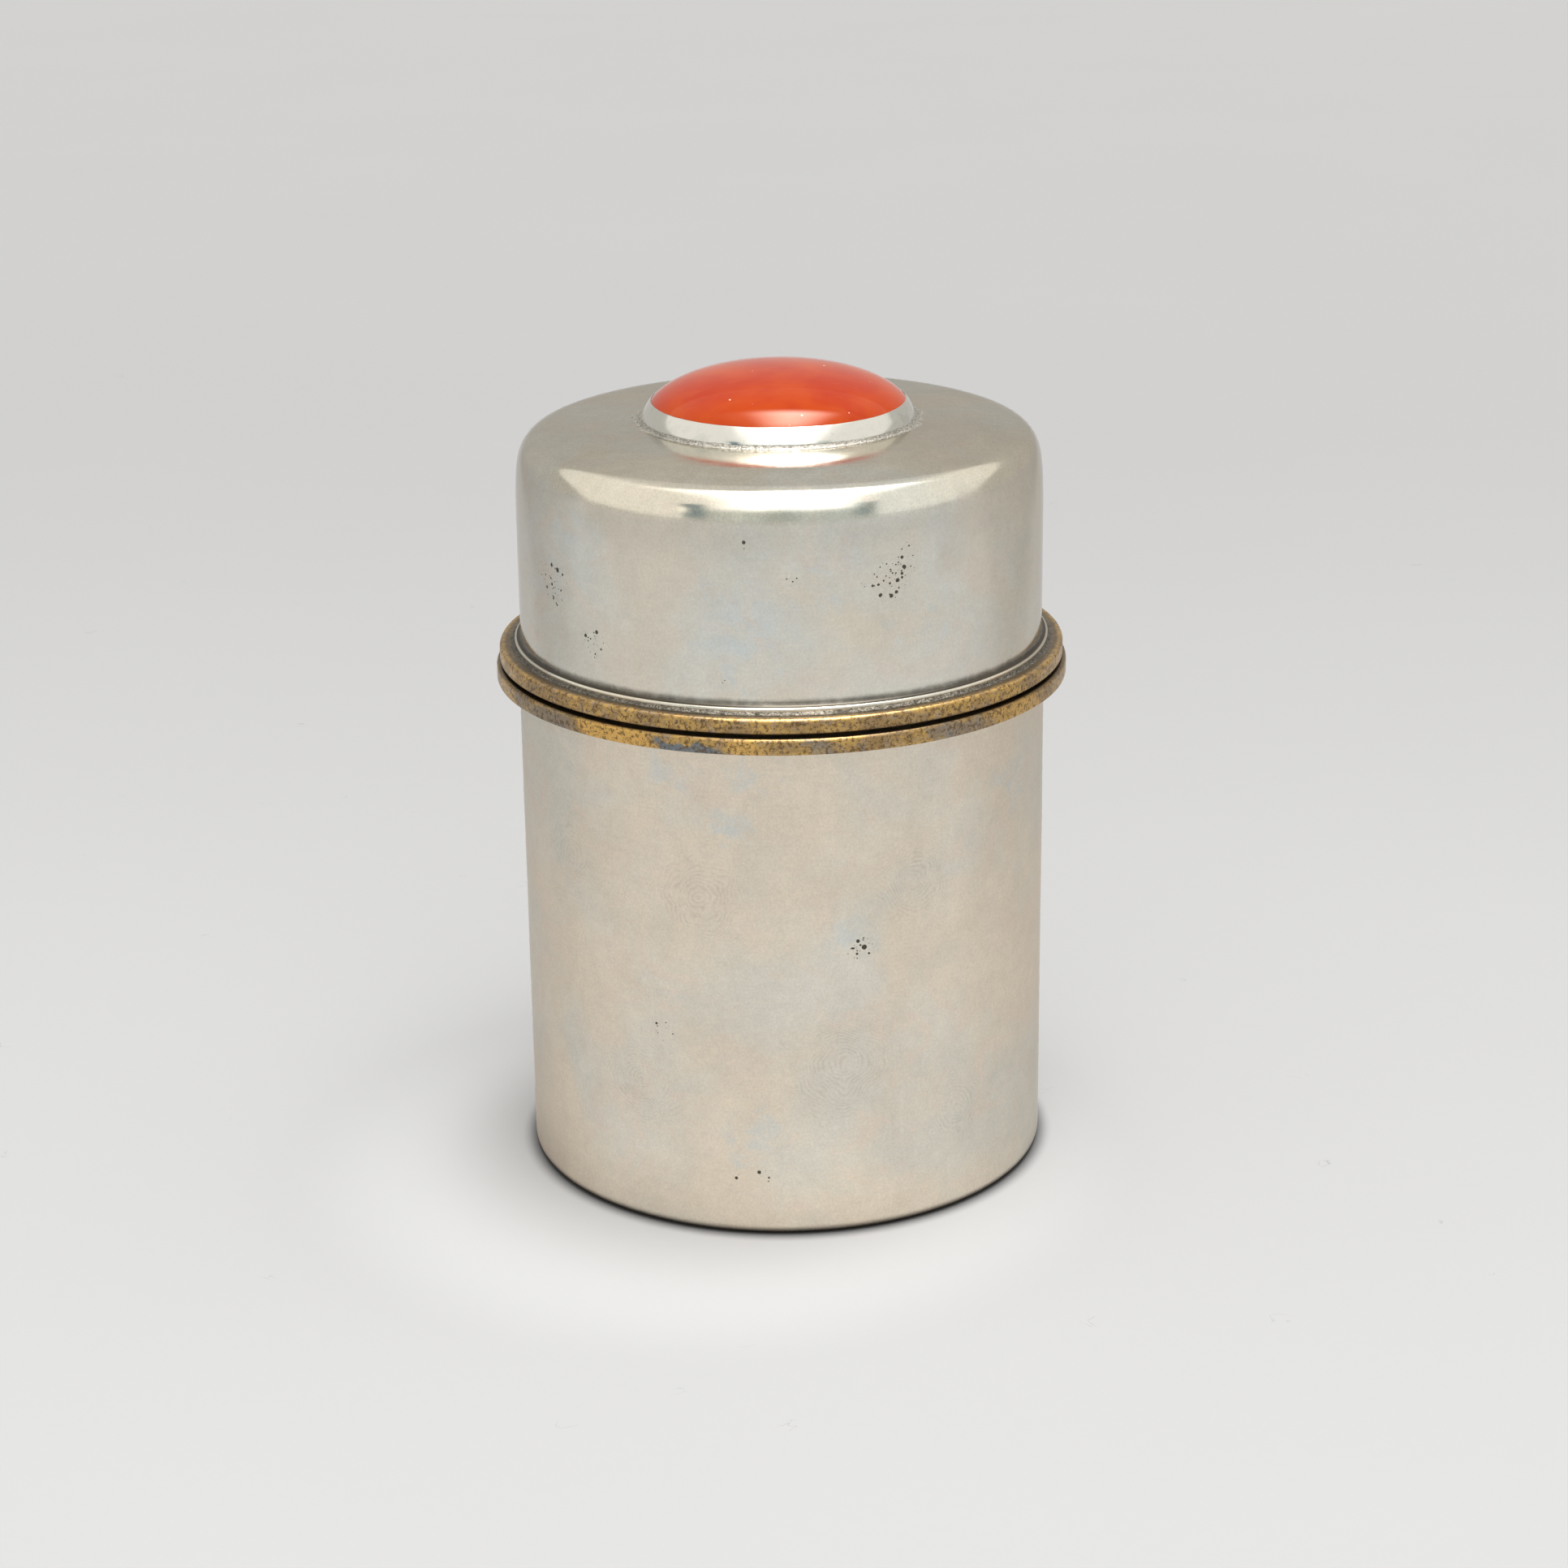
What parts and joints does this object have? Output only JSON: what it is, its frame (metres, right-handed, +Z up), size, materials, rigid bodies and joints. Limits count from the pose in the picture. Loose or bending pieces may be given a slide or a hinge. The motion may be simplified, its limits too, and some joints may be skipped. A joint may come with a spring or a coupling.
{
  "type": "pill box",
  "caption": "Small round metal box with a lift-off sleeve lid, brass rim rings, a domed orange stone in a bezel on top and a four-way pill divider inside.",
  "frame": {"origin": "centre of the flat base, on the surface it stands on", "axes": "+Z up along the box's axis, towards the stone; the divider plates stand along X and Y"},
  "size_m": [0.065, 0.065, 0.0926],
  "materials": {
    "nickel_silver_body": "satin, cloudy tarnish",
    "nickel_silver_lid": "satin, cloudy tarnish, small pits",
    "nickel_silver_divider": "satin",
    "brass_ring": "tarnished, with blue and purple patches",
    "brass_sleeve": "rubbed bright by the lid",
    "solder": "grainy",
    "bezel_metal": "hand polished",
    "stone": "glossy polished, opaque"
  },
  "bodies": {
    "body": {"body_shell": "nickel_silver_body", "body_rim_ring": "brass_ring", "body_ring_solder": "solder", "inner_sleeve": "brass_sleeve", "divider_disc": "nickel_silver_divider", "divider_plate_lower": "nickel_silver_divider", "divider_plate_upper": "nickel_silver_divider"},
    "lid": {"lid_shell": "nickel_silver_lid", "lid_rim_ring": "brass_ring", "lid_ring_solder": "solder", "bezel": "bezel_metal", "bezel_solder": "solder", "cabochon": "stone"}
  },
  "joints": [
    {"name": "lid_lift", "type": "slide", "parent": "body", "child": "lid", "axis": [0, 0, 1], "range_m": [0, 0.06]}
  ]
}
